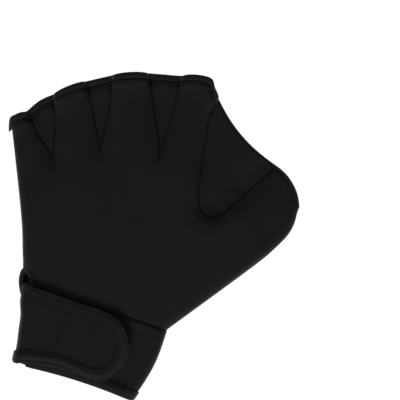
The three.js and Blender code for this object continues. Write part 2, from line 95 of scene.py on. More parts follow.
table_paper = bpy.data.materials.new("white_paper")
lit = {"Color": linear("#ffffff"), "Strength": TABLE_BRIGHTNESS}
surface(empty_tree(table_paper), "ShaderNodeEmission", lit)

bpy.ops.mesh.primitive_plane_add(size=TABLE_SIZE, location=(0, 0, TABLE_TOP))
table = bpy.context.object
table.name = "table"
table.data.materials.append(table_paper)
table.select_set(False)

room = bpy.data.worlds.new("light_tent")
bpy.context.scene.world = room
tree = empty_tree(room)
walls = add_node(tree, "ShaderNodeBackground", {"Color": linear("#ffffff"), "Strength": TENT_BRIGHTNESS})
add_node(tree, "ShaderNodeOutputWorld", {"Surface": walls.outputs[0]})

main_light = bpy.data.lights.new("main_light", "AREA")
main_light.size = MAIN_LIGHT_SIZE
main_light.energy = MAIN_LIGHT_WATTS
main_lamp = bpy.data.objects.new("main_light", main_light)
main_lamp.location = MAIN_LIGHT_PLACE
main_lamp.rotation_euler = (-MAIN_LIGHT_PLACE).to_track_quat("-Z", "Y").to_euler()
bpy.context.scene.collection.objects.link(main_lamp)

camera_data = bpy.data.cameras.new("camera")
camera_data.lens = LENS
camera_data.sensor_width = SENSOR
camera = bpy.data.objects.new("camera", camera_data)
camera.location = VIEW_CENTRE + Vector((0, 0, VIEW_WIDTH * LENS / SENSOR))
bpy.context.scene.collection.objects.link(camera)
bpy.context.scene.camera = camera
bpy.context.scene.view_settings.view_transform = "Standard"

# The back of the hand
# A panel of 2 mm foam neoprene with a black nylon jersey face. Sewn lines hold it down on the palm
# panel along both sides of each web, and between them it stands up over the fingers.
HAND_SPAN = 173.4 * MM  # little-finger edge to the end of the thumb
HAND_REACH = 139.6 * MM  # middle of the wrist seam to the top of the finger edge
WRIST_MIDDLE = Vector((-35.4 * MM, -41.2 * MM))  # the middle of the wrist seam
CUFF_TILT = math.radians(18.7)  # the cuff lies turned towards the little-finger side by this

# Lines of the hand, in shares of its span and reach from the middle of the wrist seam, and how far the
# finger edge bows out between a line and the next, as a share of their distance.
HAND_LINES = {
    # line: palm, knuckle, mid, edge, bow
    "little_fold": ((-0.2535, 0.357), (-0.275, 0.624), (-0.283, 0.714), (-0.291, 0.8), 0.02),
    "web1_left": ((-0.151, 0.349), (-0.147, 0.619), (-0.189, 0.72), (-0.229, 0.828), 0.08),
    "web1_right": ((-0.13, 0.349), (-0.143, 0.619), (-0.138, 0.757), (-0.144, 0.896), 0.055),
    "web2_left": ((-0.005, 0.357), (0.015, 0.658), (-0.004, 0.813), (-0.028, 0.953), 0),
    "web2_right": ((0.016, 0.357), (0.019, 0.658), (0.047, 0.817), (0.057, 0.978), 0.05),
    "web3_left": ((0.157, 0.359), (0.22, 0.637), (0.206, 0.826), (0.188, 0.987), 0),
    "web3_right": ((0.178, 0.36), (0.224, 0.637), (0.267, 0.826), (0.294, 0.976), 0.07),
    "index_corner": ((0.268, 0.37), (0.299, 0.637), (0.345, 0.813), (0.398, 0.966), 0),
    "thumb_web_left": ((0.365, 0.411), (0.372, 0.633), (0.389, 0.783), (0.424, 0.888), 0),
    "thumb_web_right": ((0.441, 0.401), (0.5, 0.461), (0.559, 0.525), (0.621, 0.602), 0),
}
# The sewn line round the thumb web, in the same shares: down beside the index finger, round its foot, up.
THUMB_SEAM = (
    (0.415, 0.863),
    (0.403, 0.828),
    (0.391, 0.787),
    (0.381, 0.701),
    (0.372, 0.633),
    (0.364, 0.56),
    (0.358, 0.5),
    (0.357, 0.452),
    (0.363, 0.416),
    (0.38, 0.39),
    (0.404, 0.379),
    (0.428, 0.386),
    (0.455, 0.411),
    (0.493, 0.452),
    (0.542, 0.506),
    (0.587, 0.555),
    (0.616, 0.592),
)
PATH_STEP = 0.25 * MM  # the points of a line lie this far apart
FINGER_LAP = 3.8 * MM  # width of the tape on each face of the finger edge
TAPE_ROW = 0.8 * MM  # the twin rows of a binding: one on the tape, this far inside its edge
CLOTH_ROW = 1.0 * MM  # and one on the cloth, this far beyond it
STITCH = 2.8 * MM  # length of one stitch

# How the faces of the sheets and tapes are rounded
CUT_EDGE = math.radians(62)  # the cut edges of a sheet turn by more than this
CUT_CREASE = 0.8
CORNER_TRIES = 2
CORNER_SHARE = 0.8  # of what rounding takes from a corner, the part that is given back in a try
BACK_FINE = 2.4 * MM  # the cells of the back are made finer this far from a seam
THUMB_FINE = 6 * MM  # and first, once, this far from the thumb web's
PALM_FINE = 2.2 * MM
BAND_FINE = 2 * MM

# How hard the seams are pulled in
SEAM_DEPTH = {"left": 0.9 * MM, "right": 0.7 * MM}  # on the little-finger side and the thumb side of a web
THUMB_SEAM_DEPTH = 0.8 * MM
SEAM_WIDTH = 0.7 * MM
ROW_DEPTH = 0.4 * MM
ROW_WIDTH = 0.5 * MM
WRIST_DEPTH = 0.7 * MM
WRIST_SEAM_WIDTH = 1.1 * MM
SLIT_SIDE_DEPTH = 0.8 * MM
SLIT_SIDE_WIDTH = 1.2 * MM
END_PULL = 0.3  # share of the depth that is left at the ends of a row
WRIST_LINE = (9, 20, 38, 44)  # places across the cuff on the wrist seam that shows beside the tongue, in mm

# How the cloth lies
SETTLE_SPREAD = 3.5 * MM
RIPPLE_HEIGHT = 0.2 * MM
RIPPLE_PITCH = 60 * MM
WEB_MIDDLE = 5.5 * MM  # height half way through the back panel where it lies flat on the webs
THUMB_WEB_CORNER = Vector((47.8 * MM, 22.6 * MM))
THUMB_WEB_REACH = 6 * MM

# The wrist slit on the little-finger side, beside the folded edge of the panels
SLIT_CORNER = Vector((-78.5 * MM, -26.7 * MM))  # the folded edge at the wrist seam
SLIT_WIDTH = 8.5 * MM
SLIT_DROP = 4.2 * MM  # how far the cloth comes down over the slit of the solid, which is longer
SLIT_FADE_END = 28 * MM  # the cloth is as in the solid this far above the wrist seam
SLIT_FADE = 16 * MM
SLIT_SIDE = ((-75.4, -19.4), (-73.4, -21.2), (-72.2, -24.4), (-71.6, -32))  # in mm


def at_hand(share):
    return WRIST_MIDDLE + Vector((share[0] * HAND_SPAN, share[1] * HAND_REACH))


def at_cuff(across, down):
    """A place on the cuff, which lies turned: across it and down it from the middle of the wrist seam."""
    x = across * math.cos(CUFF_TILT) - down * math.sin(CUFF_TILT)
    y = -across * math.sin(CUFF_TILT) - down * math.cos(CUFF_TILT)
    return WRIST_MIDDLE + Vector((x, y))


def through(points):
    """A smooth line through the points, as points a short step apart."""
    line = []
    last = len(points) - 1
    for i in range(last):
        before, a, b, after = (points[max(i - 1, 0)], points[i], points[i + 1], points[min(i + 2, last)])
        steps = max(2, round((b - a).length / PATH_STEP))
        for k in range(steps):
            t = k / steps
            bend_in = (b - before) * 0.5
            bend_out = (after - a) * 0.5
            cubic = (2 * a - 2 * b + bend_in + bend_out) * t**3
            square = (-3 * a + 3 * b - 2 * bend_in - bend_out) * t**2
            line.append(cubic + square + bend_in * t + a)
    return line + [points[-1]]


def web_side(name):
    """The sewn line along one side of a web, from its foot at the knuckle to the finger edge."""
    whole = through([at_hand(share) for share in HAND_LINES[name][:4]])
    knuckle = at_hand(HAND_LINES[name][1])
    start = min(range(len(whole)), key=lambda i: (whole[i] - knuckle).length)
    return whole[start:]


def finger_edge(inset):
    """The line along the finger edge, this far in from it, from the little finger to the thumb web."""
    ends = []
    for _, _, mid, edge, bow in list(HAND_LINES.values())[:-1]:
        end = at_hand(edge)
        ends.append((end - (end - at_hand(mid)).normalized() * inset, bow))
    points = []
    for (a, bow), (b, _) in zip(ends, ends[1:]):
        chord = b - a
        sideways = Vector((-chord.y, chord.x)) * bow
        points += [a + chord * s + sideways * (4 * s * (1 - s)) for s in (0, 0.25, 0.5, 0.75)]
    return through([*points, ends[-1][0]])


def ramp(value, start, length):
    """0 at the start and 1 a length away, and level on either side; the length may be negative."""
    return np.clip((value - start) / length, 0, 1)


def smooth(value):
    """Goes from 0 to 1 as the value does, with a level start and end."""
    value = np.clip(value, 0, 1)
    return value * value * (3 - 2 * value)


def apply_modifier(piece, kind, **settings):
    bpy.context.view_layer.objects.active = piece
    piece.select_set(True)
    modifier = piece.modifiers.new(kind.lower(), kind)
    for name, value in settings.items():
        setattr(modifier, name, value)
    bpy.ops.object.modifier_apply(modifier=modifier.name)
    piece.select_set(False)


def copy_of(node, name):
    """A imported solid's own mesh under a new name, its loose triangles joined."""
    piece = bpy.data.objects.new(name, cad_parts[node].data.copy())
    bpy.context.scene.collection.objects.link(piece)
    piece.data.materials.clear()
    bpy.context.view_layer.objects.active = piece
    piece.select_set(True)
    bpy.ops.object.mode_set(mode="EDIT")
    bpy.ops.mesh.select_all(action="SELECT")
    bpy.ops.mesh.remove_doubles(threshold=0.01 * MM)
    bpy.ops.mesh.tris_convert_to_quads()
    bpy.ops.mesh.select_all(action="DESELECT")
    bpy.ops.object.mode_set(mode="OBJECT")
    piece.select_set(False)
    return piece


def face_points(piece):
    """The places and normals of a piece's vertices, as arrays."""
    count = len(piece.data.vertices)
    places = np.empty(count * 3)
    piece.data.vertices.foreach_get("co", places)
    normals = np.empty(count * 3)
    piece.data.vertices.foreach_get("normal", normals)
    return places.reshape(-1, 3), normals.reshape(-1, 3)


def put_back(piece, places):
    piece.data.vertices.foreach_set("co", places.ravel())
    piece.data.update()


def rounded(node, name, levels):
    """A sheet or tape in the solid's form: its facets rounded into each other, its cut edges kept.

    Rounding draws a surface in from its corners, so these are first moved out by as much."""
    piece = copy_of(node, name)
    bm = bmesh.new()
    bm.from_mesh(piece.data)
    crease = bm.edges.layers.float.new("crease_edge")
    for edge in bm.edges:
        if edge.calc_face_angle(0) > CUT_EDGE:
            edge[crease] = CUT_CREASE
    bm.to_mesh(piece.data)
    bm.free()
    corners, _ = face_points(piece)
    moved = corners.copy()
    for _ in range(CORNER_TRIES):
        trial = bpy.data.objects.new("trial", piece.data.copy())
        bpy.context.scene.collection.objects.link(trial)
        apply_modifier(trial, "SUBSURF", levels=1, render_levels=1)
        reached, _ = face_points(trial)
        moved += CORNER_SHARE * (corners - reached[: len(corners)])
        bpy.data.objects.remove(trial)
        put_back(piece, moved)
    apply_modifier(piece, "SUBSURF", levels=levels, render_levels=levels)
    return piece


def nearest_on(line):
    """Finds the point of a line that is nearest to a place, in plan."""
    near = KDTree(len(line))
    for i, p in enumerate(line):
        near.insert((p.x, p.y, 0), i)
    near.balance()
    return near


def finer_along(piece, line, reach, side, cuts=2, widest=0.9 * MM, facing=0.15):
    """Smaller cells on one face of a piece, 1 the upper and -1 the lower, within reach of a line.

    Cells no wider than widest are left as they are, and so are those that stand steeper than facing."""
    near = nearest_on(line)
    bm = bmesh.new()
    bm.from_mesh(piece.data)
    chosen = set()
    for face in bm.faces:
        centre = face.calc_center_median()
        if face.normal.z * side > facing and near.find((centre.x, centre.y, 0))[2] < reach:
            chosen.update(edge for edge in face.edges if edge.calc_length() > widest)
    bmesh.ops.subdivide_edges(bm, edges=list(chosen), cuts=cuts, use_grid_fill=True)
    bm.to_mesh(piece.data)
    bm.free()


def settle(piece, spread, cell=1.5 * MM):
    """Lets the upper face of a panel settle: its relief is evened out over a spread, but for its rims."""
    places, normals = face_points(piece)
    face = BVHTree.FromObject(piece, bpy.context.evaluated_depsgraph_get())
    low = places.min(axis=0) - 4 * spread
    high = places.max(axis=0) + 4 * spread
    xs = np.arange(low[0], high[0], cell)
    ys = np.arange(low[1], high[1], cell)
    height = np.zeros((len(xs), len(ys)))
    there = np.zeros((len(xs), len(ys)))
    for i, x in enumerate(xs):
        for j, y in enumerate(ys):
            hit = face.ray_cast(Vector((x, y, high[2])), Vector((0, 0, -1)))[0]
            if hit:
                height[i, j] = hit.z
                there[i, j] = 1

    def blurred(field):
        for axis, places_along in enumerate((xs, ys)):
            kernel = np.exp(-(((places_along[:, None] - places_along[None, :]) / spread) ** 2) / 2)
            kernel /= spread / cell * math.sqrt(2 * math.pi)
            field = np.moveaxis(np.tensordot(kernel, field, (1, axis)), 0, axis)
        return field

    def at_vertices(field):
        x = (places[:, 0] - low[0]) / cell
        y = (places[:, 1] - low[1]) / cell
        i, j = np.floor(x).astype(int), np.floor(y).astype(int)
        x, y = x - i, y - j
        near = field[i, j] * (1 - x) * (1 - y) + field[i + 1, j] * x * (1 - y)
        return near + field[i, j + 1] * (1 - x) * y + field[i + 1, j + 1] * x * y

    covered = at_vertices(blurred(there))
    even = at_vertices(blurred(height)) / np.maximum(covered, 0.01)
    inside = ramp(covered, 0.93, 0.06)  # 0 at a rim, where part of the spread is off the cloth
    upper = normals[:, 2] > 0.05
    places[:, 2] += inside * upper * (even - places[:, 2])
    put_back(piece, places)


def even_cells(piece, centre, reach, times=30):
    """Evens out the cells of a panel's upper face round a place where they run together."""
    bm = bmesh.new()
    bm.from_mesh(piece.data)
    near = [v for v in bm.verts if v.co.z > WEB_MIDDLE and (v.co.xy - centre).length < reach]
    for _ in range(times):
        bmesh.ops.smooth_vert(bm, verts=near, factor=0.5, use_axis_x=True, use_axis_y=True, use_axis_z=True)
    bm.to_mesh(piece.data)
    bm.free()


def draw_over_slit(piece):
    """Draws a panel down over the head of the wrist slit, which ends lower than in the solid."""
    places, _ = face_points(piece)
    inset = np.maximum(places[:, 0] - SLIT_CORNER.x, 0)
    beside = np.clip(1 - (inset / SLIT_WIDTH) ** 2, 0, 1)
    up = places[:, 1] - SLIT_CORNER.y
    places[:, 1] -= SLIT_DROP * beside * smooth((SLIT_FADE_END - up) / SLIT_FADE)
    put_back(piece, places)


def press(piece, line, depth, width, side, pucker=0.25, fade=2 * STITCH, facing=0.2):
    """Pulls a face of a piece in along a line of stitches, deepest at each needle hole, less at the ends.

    How much is kept in the attribute "sewn", by which the cloth is painted darker there: painted shade in
    the stitch grooves."""
    near = nearest_on(line)
    places, normals = face_points(piece)
    marks = piece.data.attributes.get("sewn") or piece.data.attributes.new("sewn", "FLOAT", "POINT")
    sewn = np.zeros(len(places))
    marks.data.foreach_get("value", sewn)
    reach = 3 * width
    low = np.array([min(p.x for p in line), min(p.y for p in line)]) - reach
    high = np.array([max(p.x for p in line), max(p.y for p in line)]) + reach
    inside = np.all((places[:, :2] > low) & (places[:, :2] < high), axis=1)
    for k in np.flatnonzero(inside & (normals[:, 2] * side > facing)):
        _, i, distance = near.find((places[k, 0], places[k, 1], 0))
        if distance > reach:
            continue
        along = i * PATH_STEP
        from_end = min(along, (len(line) - 1 - i) * PATH_STEP)
        strength = math.exp(-((distance / width) ** 2)) * min(1, END_PULL + from_end / fade)
        sewn[k] = max(sewn[k], strength)
        places[k, 2] -= side * depth * strength * (1 + pucker * math.cos(2 * math.pi * along / STITCH))
    marks.data.foreach_set("value", sewn)
    put_back(piece, places)


def draw_down(piece, line, depth, width, side):
    """Draws a tape or sheet down along a line, its other face by half as much, and leaves no mark."""
    marks = piece.data.attributes.get("sewn")
    kept = np.zeros(len(piece.data.vertices))
    if marks:
        marks.data.foreach_get("value", kept)
    press(piece, line, depth, width, side, pucker=0)
    press(piece, line, -depth / 2, width, -side, pucker=0)
    piece.data.attributes["sewn"].data.foreach_set("value", kept)


def ripple(piece, height, pitch):
    """The slow unevenness of cloth that has been folded and handled."""
    places, _ = face_points(piece)
    x, y = places[:, 0] / pitch, places[:, 1] / pitch
    wave = np.sin(5.1 * x + 2.3 * y) + np.sin(3.1 * y - 2.7 * x + 1.3) + np.sin(4.3 * y + 1.9 * x + 4.0)
    places[:, 2] += height * wave / 3
    put_back(piece, places)


def object_space(tree, turn=0.0):
    place = add_node(tree, "ShaderNodeTexCoord").outputs["Object"]
    return add_node(tree, "ShaderNodeMapping", {"Vector": place, "Rotation": (0, 0, turn)}).outputs[0]


def lumps(tree, place, size, detail):
    """A noise with lumps of this size."""
    inputs = {"Vector": place, "Scale": 1 / size, "Detail": detail}
    return add_node(tree, "ShaderNodeTexNoise", inputs).outputs["Fac"]


def bands(tree, place, pitch, direction, wander=0.0):
    """Waves a pitch apart across a direction; a wave texture has 20 / 2 pi of them to a metre at scale 1."""
    scale = 1 / pitch / 20 * 2 * math.pi
    inputs = {"Vector": place, "Scale": scale, "Distortion": wander, "Detail": 1.0}
    return add_node(tree, "ShaderNodeTexWave", inputs, bands_direction=direction).outputs["Fac"]


def between(tree, value, low, high, from_low=0.3, from_high=0.7):
    """Takes a value to between low and high; a noise seldom leaves 0.3 to 0.7."""
    inputs = {"Value": value, "From Min": from_low, "From Max": from_high, "To Min": low, "To Max": high}
    return add_node(tree, "ShaderNodeMapRange", inputs).outputs[0]


def product(tree, *factors):
    total = factors[0]
    for factor in factors[1:]:
        total = add_node(tree, "ShaderNodeMath", {0: total, 1: factor}, operation="MULTIPLY").outputs[0]
    return total


def sewn_painted_shade(tree):
    """Painted shade along the stitches: the cloth is darkened where it is pulled in, for the shadow in the
    seam grooves and for the denser pressed knit.
    """
    sewn = add_node(tree, "ShaderNodeAttribute", attribute_name="sewn")
    return between(tree, sewn.outputs["Fac"], 1.0, 0.45, 0.0, 1.0)


def nylon_face(tree, colour, tone, relief, relief_depth, relief_strength, roughness):
    """Dyed nylon: matt, with a faint sheen at grazing angles."""
    dye = {0: linear(colour)[:3], "Scale": tone}
    dyed = add_node(tree, "ShaderNodeVectorMath", dye, operation="SCALE")
    bumps = {"Strength": relief_strength, "Distance": relief_depth, "Height": relief}
    bump = add_node(tree, "ShaderNodeBump", bumps)
    skin = {
        "Base Color": dyed.outputs[0],
        "Roughness": roughness,
        "IOR": 1.5,
        "Specular IOR Level": 0.12,
        "Sheen Weight": 0.08,
        "Sheen Roughness": 0.4,
        "Normal": bump.outputs[0],
    }
    surface(tree, "ShaderNodeBsdfPrincipled", skin)


def nylon_jersey(name, colour, turn):
    """Nylon jersey bonded to foam neoprene: a fine knit, with the unevenness and the lint of use."""
    material = bpy.data.materials.new(name)
    tree = empty_tree(material)
    place = object_space(tree, turn)
    wale = 0.9 * MM  # the real wales are about 0.5 mm apart; drawn coarser, so that they show
    knit = product(tree, bands(tree, place, wale, "X", 0.6), bands(tree, place, wale, "Y", 0.8))
    handling = between(tree, lumps(tree, place, 28 * MM, 4.0), 0.88, 1.12)
    lint = between(tree, lumps(tree, place, 1.3 * MM, 2.0), 0.9, 1.1)
    loops = between(tree, knit, 0.85, 1.1, 0.0, 1.0)
    # The tone is darkened along the stitches by painted shade, for the shadow in the seam grooves.
    tone = product(tree, handling, lint, loops, sewn_painted_shade(tree))
    nylon_face(tree, colour, tone, knit, 0.12 * MM, 0.6, 0.85)
    return material


def dress(piece, material):
    piece.data.materials.append(material)
    for polygon in piece.data.polygons:
        polygon.use_smooth = True
    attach(piece, "root")


WEB_NAMES = [name for name in HAND_LINES if name.startswith("web")]
web_lines = [web_side(name) for name in WEB_NAMES]
thumb_line = through([at_hand(share) for share in THUMB_SEAM])
finger_cloth_row = finger_edge(FINGER_LAP + CLOTH_ROW)
hand_lines = [*web_lines, thumb_line, finger_cloth_row]
slit_side = through([Vector((x * MM, y * MM)) for x, y in SLIT_SIDE])
wrist_line = through([at_cuff(across * MM, 0) for across in WRIST_LINE])

hand_jersey = nylon_jersey("nylon_jersey_hand", "#171718", 0.0)
back = rounded("back_panel", "back_of_hand", 2)
settle(back, SETTLE_SPREAD)
even_cells(back, THUMB_WEB_CORNER, THUMB_WEB_REACH)
draw_over_slit(back)
finer_along(back, thumb_line, THUMB_FINE, 1, cuts=1, widest=1.6 * MM)
for line in hand_lines:
    finer_along(back, line, BACK_FINE, 1)
for name, line in zip(WEB_NAMES, web_lines):
    press(back, line, SEAM_DEPTH[name.split("_")[1]], SEAM_WIDTH, 1)
press(back, thumb_line, THUMB_SEAM_DEPTH, SEAM_WIDTH, 1)
press(back, finger_cloth_row, ROW_DEPTH, ROW_WIDTH, 1)
press(back, wrist_line, WRIST_DEPTH, WRIST_SEAM_WIDTH, 1, pucker=0)
press(back, slit_side, SLIT_SIDE_DEPTH, SLIT_SIDE_WIDTH, 1, pucker=0)
ripple(back, RIPPLE_HEIGHT, RIPPLE_PITCH)
dress(back, hand_jersey)
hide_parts("back_panel")

# The palm of the hand
# The same cloth, flat where it lies on the table, sewn to the back panel along the same lines.
palm = rounded("palm_panel", "palm_of_hand", 2)
draw_over_slit(palm)
for line in hand_lines:
    finer_along(palm, line, PALM_FINE, -1)
    press(palm, line, ROW_DEPTH, ROW_WIDTH, -1)
dress(palm, hand_jersey)
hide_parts("palm_panel")

# The wrist band
# One strip of the same neoprene, cut across the knit. It goes over the front, round the thumb side and
# under the wrist, and comes over the front again as the tongue that closes the glove.
WRIST_WIDTH = 90.4 * MM  # flat
HEM_WIDTH = 75 * MM
CUFF_LENGTH = 46.2 * MM  # wrist seam to hem
HEM_SHIFT = 1.5 * MM  # of the middle of the hem towards the thumb side
CUFF_BOW = 1.5 * MM  # of the cuff towards the thumb side half way down
STRAP_WIDTH = 40.5 * MM
STRAP_INSET = 2 * MM  # upper edge of the tongue below the wrist seam
STRAP_LEAD = 20 * MM  # length over which the tongue draws in to it
TIP_CENTRE = 6.55 * MM  # middle of the tongue's round end, from the middle of the wrist seam
CUFF_LAP = 5.4 * MM  # width of the tape on each face of the hem and the tongue
CUFF_TAPE_ROW = 1.3 * MM  # the row on the cuff's tapes, this far inside their edge
CUFF_ROW_DEPTH = 0.25 * MM  # the cuff's rows are sewn with less pull
HEM_ROW_END = 4 * MM  # the rows along the hem end this far before the thumb side's fold
FRONT_ROW_START = 20 * MM  # the row on the front of the band comes out from under the tongue here
REAR_ROW_START = -34 * MM
PATCH_END = -13.8 * MM  # row across the tongue that holds the end of the hook patch
PATCH_ROW = ((0, 8.5), (0, 20), (-1.5, 34))  # its places across from there and down, in mm
CLOTH_SWELL = 0.5 * MM  # the foam swells beside the tapes that press it
SWELL_WIDTH = 1.6 * MM
UNDER_TONGUE = 12.1 * MM  # height of the gap between the tongue and the front of the band
TONGUE_HEIGHT = 14 * MM
FRONT_HEIGHT = 11 * MM  # the front of the band beside the tongue

# How far the cuff has slumped on the table, in mm
LITTLE_SIDE_OUT = 1.7  # the little-finger side, below the slit
LITTLE_SIDE_OUT_LOWER = 0.8  # and half way down the cuff
THUMB_SIDE_OUT = 1.3
HEM_RISE = 1.7  # the middle of the hem, towards the fingers
CORNER_FALL = 1.4  # the upper corner beside the slit, away from the fingers
TONGUE_SINK = 0.8  # the tongue's upper edge, into the cloth under it
FRONT_DIP = 1.1  # the front of the band beside the tongue's tip
TONGUE_RISE = {-36: 0, -28: 2.4, -13: 3.2, 5: 0.9, 17: -1.6, 24: -1.2}  # its lower edge, by place across


def cuff_sides(down):
    """Where the folds of the cuff lie at a distance down from the wrist seam."""
    share = down / CUFF_LENGTH
    half = (WRIST_WIDTH + (HEM_WIDTH - WRIST_WIDTH) * share) / 2
    middle = HEM_SHIFT * share + 4 * CUFF_BOW * share * (1 - share)
    return middle - half, middle + half


def tongue_edge(inset):
    """The line along the tongue's edge, this far in from it: out, round its end and back."""
    straight = TIP_CENTRE + WRIST_WIDTH / 2
    outline = []
    for out in [out * MM for out in range(2, 50, 4)]:
        upper = STRAP_INSET * smooth(out / STRAP_LEAD)
        outline.append((out - WRIST_WIDTH / 2, upper))
    radius = STRAP_WIDTH / 2
    for turn in [math.radians(turn) for turn in range(-84, 85, 12)]:
        down = STRAP_INSET + radius + radius * math.sin(turn)
        outline.append((TIP_CENTRE + radius * math.cos(turn), down))
    for out in [out * MM for out in range(46, 5, -4)]:
        lower = CUFF_LENGTH + (STRAP_INSET + STRAP_WIDTH - CUFF_LENGTH) * smooth(out / straight)
        outline.append((out - WRIST_WIDTH / 2, lower))
    points = []
    for i, (across, down) in enumerate(outline):
        before = outline[max(i - 1, 0)]
        after = outline[min(i + 1, len(outline) - 1)]
        way = Vector((after[0] - before[0], after[1] - before[1])).normalized()
        points.append(at_cuff(across - way.y * inset, down + way.x * inset))
    return through(points)


def hem_edge(inset, start=0.0):
    """The line along the hem, this far in from it, from a distance off its middle to the thumb side."""
    down = CUFF_LENGTH - inset
    end = cuff_sides(down)[1] - HEM_ROW_END
    return through([at_cuff(start + (end - start) * s, down) for s in (0, 0.2, 0.4, 0.6, 0.8, 1)])


def hill(value, middle, width):
    return np.exp(-(((value - middle) / width) ** 2))


def slumped(places, tongue_from=UNDER_TONGUE):
    """The cuff's places after it has slumped on the table: its sides have gone out, the middle of the hem
    is drawn up, and the tongue's upper edge has sunk with the cloth under it.

    What is higher than tongue_from moves with the tongue. Places on the cuff are in mm here."""
    x = (places[:, 0] - WRIST_MIDDLE.x) / MM
    y = (places[:, 1] - WRIST_MIDDLE.y) / MM
    across = x * math.cos(CUFF_TILT) - y * math.sin(CUFF_TILT)
    down = -x * math.sin(CUFF_TILT) - y * math.cos(CUFF_TILT)
    height = places[:, 2]

    aside = THUMB_SIDE_OUT * hill(down, 22, 19) * ramp(across, 24, 12)
    little_side = LITTLE_SIDE_OUT * hill(down, 11, 7) + LITTLE_SIDE_OUT_LOWER * hill(down, 27, 9)
    aside -= little_side * ramp(across, -26, -14)

    rise = HEM_RISE * np.clip((down - 22) / 24, 0, 1.1) * np.clip(1 - ((across - 10) / 34) ** 2, 0, 1)
    tongue_rise = np.interp(across, list(TONGUE_RISE), list(TONGUE_RISE.values())) * ramp(down, 24, 14)
    rise += tongue_rise * ramp(height, tongue_from, 0.3 * MM)
    rise -= CORNER_FALL * hill(across, -42, 9) * ramp(down, 9, -8) * (height > 5 * MM)

    sink = TONGUE_SINK * hill(down, 2, 5) * ramp(across, -46, 8) * ramp(across, 18, -8)
    beside_tip = hill(across, 29, 6) * ramp(down, 0, 5) * ramp(down, 44, -8)
    sink += FRONT_DIP * beside_tip * (height < tongue_from)

    moved = places.copy()
    moved[:, 0] += (rise * math.sin(CUFF_TILT) + aside * math.cos(CUFF_TILT)) * MM
    moved[:, 1] += (rise * math.cos(CUFF_TILT) - aside * math.sin(CUFF_TILT)) * MM
    moved[:, 2] -= sink * (height > 8.5 * MM) * MM
    return moved


def slump(piece, tongue_from=UNDER_TONGUE):
    put_back(piece, slumped(face_points(piece)[0], tongue_from))


def slumped_line(line, height):
    """A line on the cuff, this high on it, after the cuff has slumped."""
    return [Vector(p[:2]) for p in slumped(np.array([(p.x, p.y, height) for p in line]))]


tongue_lap_edge = tongue_edge(CUFF_LAP)
hem_lap_edge = hem_edge(CUFF_LAP)
tongue_cloth_row = tongue_edge(CUFF_LAP + CLOTH_ROW)
hem_cloth_row = hem_edge(CUFF_LAP + CLOTH_ROW, FRONT_ROW_START)
rear_hem_row = hem_edge(CUFF_LAP + CLOTH_ROW, REAR_ROW_START)
patch_row = through([at_cuff(PATCH_END + across * MM, down * MM) for across, down in PATCH_ROW])

band_jersey = nylon_jersey("nylon_jersey_band", "#141415", CUFF_TILT)
band = rounded("wrist_band", "wrist_wrap", 3)
for line in (tongue_lap_edge, hem_lap_edge):
    draw_down(band, line, -CLOTH_SWELL, SWELL_WIDTH, 1)
for line, side in ((tongue_cloth_row, 1), (hem_cloth_row, 1), (patch_row, 1), (rear_hem_row, -1)):
    finer_along(band, line, BAND_FINE, side)
    press(band, line, CUFF_ROW_DEPTH, ROW_WIDTH, side)
press(band, wrist_line, WRIST_DEPTH, WRIST_SEAM_WIDTH, 1, pucker=0)
slump(band)
dress(band, band_jersey)
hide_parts("wrist_band")

# The bindings
# Knitted nylon tape, folded over each cut edge and sewn down through both faces. The end of a finger
# tape is folded in at the little-finger corner and sewn down.
END_DROP = 4.5 * MM
END_OUT = 0.7 * MM
END_CORNER = (4 * MM, 1 * MM)  # the end is drawn down from this far past the corner
END_FADE = (-5 * MM, -4 * MM)  # and fully so from this far on
DROP_WIDTH = 1.2 * MM
TONGUE_FOLD = 0.2 * MM  # the fold of the tongue's tape, this far in from the edge
WHOLLY_UNDER = 20 * MM  # no part of the hem's tape is as high as this, so that none goes with the tongue


def turn_end_down(piece):
    """Draws the end of a finger tape down round the little-finger corner."""
    places, _ = face_points(piece)
    corner = at_hand(HAND_LINES["little_fold"][3])
    at_end = ramp(places[:, 0], corner.x + END_CORNER[0], END_FADE[0])
    at_end *= ramp(places[:, 1], corner.y + END_CORNER[1], END_FADE[1])
    places[:, 0] -= END_OUT * at_end
    places[:, 1] -= END_DROP * at_end
    put_back(piece, places)


def knitted_tape(name, colour):
    """Knitted nylon tape: slightly shinier than the jersey, with ribs too fine to see apart."""
    material = bpy.data.materials.new(name)
    tree = empty_tree(material)
    ribs = lumps(tree, object_space(tree), 0.7 * MM, 3.0)
    # The tape's tone is darkened along its stitches by painted shade, for the shadow in the seam grooves.
    tone = product(tree, between(tree, ribs, 0.85, 1.15), sewn_painted_shade(tree))
    nylon_face(tree, colour, tone, ribs, 0.1 * MM, 0.5, 0.8)
    return material


tape = knitted_tape("knitted_nylon_tape", "#171718")
finger_tape_row = finger_edge(FINGER_LAP - TAPE_ROW)
tongue_tape_row = tongue_edge(CUFF_LAP - CUFF_TAPE_ROW)
hem_tape_row = hem_edge(CUFF_LAP - CUFF_TAPE_ROW)
rear_tape_row = hem_edge(CUFF_LAP - CUFF_TAPE_ROW, REAR_ROW_START)
finger_lap_edge = finger_edge(FINGER_LAP)
tongue_fold = tongue_edge(TONGUE_FOLD)
BINDINGS = {
    # node: name, rows of stitches with the face that each is on, and where and by how many millimetres
    # the upper face is drawn down on the cloth
    "back_finger_binding": ("finger_edge_tape_back", [(finger_tape_row, 1)], [(finger_lap_edge, 0.6)]),
    "palm_finger_binding": ("finger_edge_tape_palm", [(finger_tape_row, -1)], []),
    "wrist_hem_binding": ("wrist_hem_tape", [(hem_tape_row, 1), (rear_tape_row, -1)], [(hem_lap_edge, 0.3)]),
    "strap_binding": ("tongue_tape", [(tongue_tape_row, 1)], [(tongue_lap_edge, 0.3), (tongue_fold, 0.5)]),
}
tapes = {}
